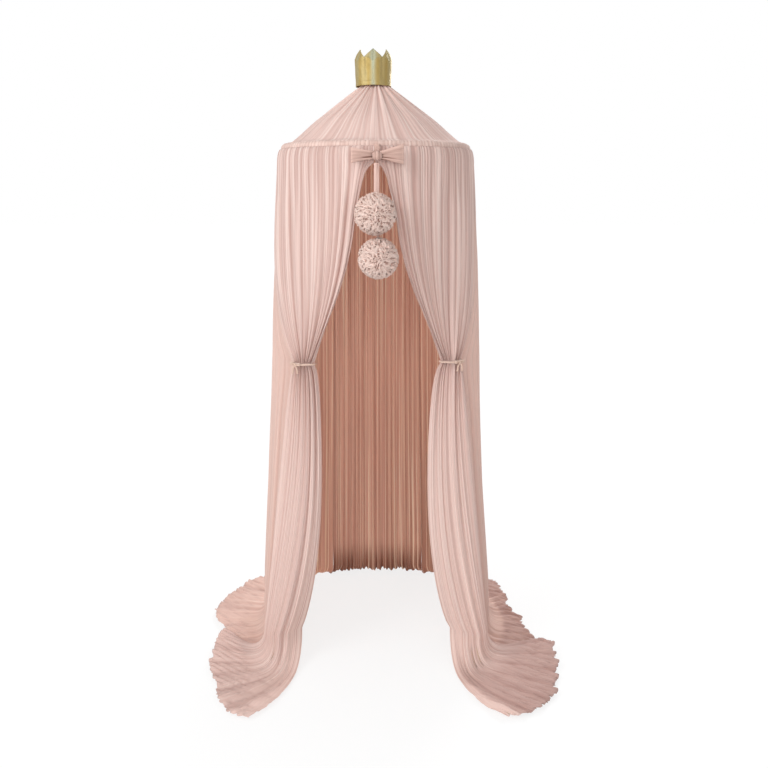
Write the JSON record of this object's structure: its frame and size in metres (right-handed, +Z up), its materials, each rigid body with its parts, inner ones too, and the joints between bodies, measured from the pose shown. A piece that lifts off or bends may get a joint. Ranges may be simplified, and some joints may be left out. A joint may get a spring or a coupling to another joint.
{
  "type": "bed crown canopy",
  "caption": "Hanging bed canopy with a round rod ring, pleated cone roof, gold crown, tied-back curtains that pool on the floor, a bow and two pom-poms.",
  "frame": {"origin": "underside of the hanging loop's crest, where a ceiling hook bears; the floor is 1.838 m below", "axes": "+Z up along the canopy's middle line, front opening faces -Y, +X to the right seen from the front"},
  "size_m": [1.1478, 0.954, 1.8707],
  "materials": {
    "rod": "white satin",
    "plastic": "white",
    "tape": "woven cotton tape",
    "outer_cloth": "sheer pleated tulle",
    "inner_cloth": "sheer tulle in shade",
    "ribbon": "narrow ribbon",
    "bow_cloth": "crushed tulle",
    "tulle": "cut tulle ruffles",
    "gold_vinyl": "metallic gold vinyl",
    "lining": "felt"
  },
  "bodies": {
    "root": {"ring_rod_1": "rod", "ring_rod_2": "rod", "ring_rod_3": "rod", "ring_rod_4": "rod", "ring_ferrule_1": "plastic", "ring_ferrule_2": "plastic", "ring_ferrule_3": "plastic", "ring_ferrule_4": "plastic", "ring_casing": "tape", "roof_front": "outer_cloth", "roof_right": "outer_cloth", "roof_back": "outer_cloth", "roof_left": "outer_cloth", "neck_ring": "plastic", "neck_binding": "tape", "hanging_loop": "tape", "back_curtain": "inner_cloth", "left_side_curtain": "outer_cloth", "left_front_curtain": "outer_cloth", "left_tie_band": "ribbon", "left_tie_bow": "ribbon", "right_side_curtain": "outer_cloth", "right_front_curtain": "outer_cloth", "right_tie_band": "ribbon", "right_tie_bow": "ribbon", "bow_tab": "tape", "bow_knot": "bow_cloth", "bow_left_loop": "bow_cloth", "bow_right_loop": "bow_cloth"},
    "crown": {"crown_band": "gold_vinyl", "crown_lining": "lining"},
    "upper_pompom": {"upper_pompom": "tulle", "upper_pompom_cord": "ribbon"},
    "lower_pompom": {"lower_pompom": "tulle", "lower_pompom_cord": "ribbon"}
  },
  "joints": [
    {"name": "crown_lift", "type": "slide", "parent": "root", "child": "crown", "axis": [0, 0, 1], "range_m": [0, 0.12]},
    {"name": "upper_pompom_swing", "type": "hinge", "parent": "root", "child": "upper_pompom", "pos_m": [0.002, -0.3165, -0.3], "axis": [0, 1, 0], "range_deg": [-25, 25]},
    {"name": "lower_pompom_swing", "type": "hinge", "parent": "root", "child": "lower_pompom", "pos_m": [0.009, -0.3108, -0.3], "axis": [0, 1, 0], "range_deg": [-25, 25]}
  ]
}
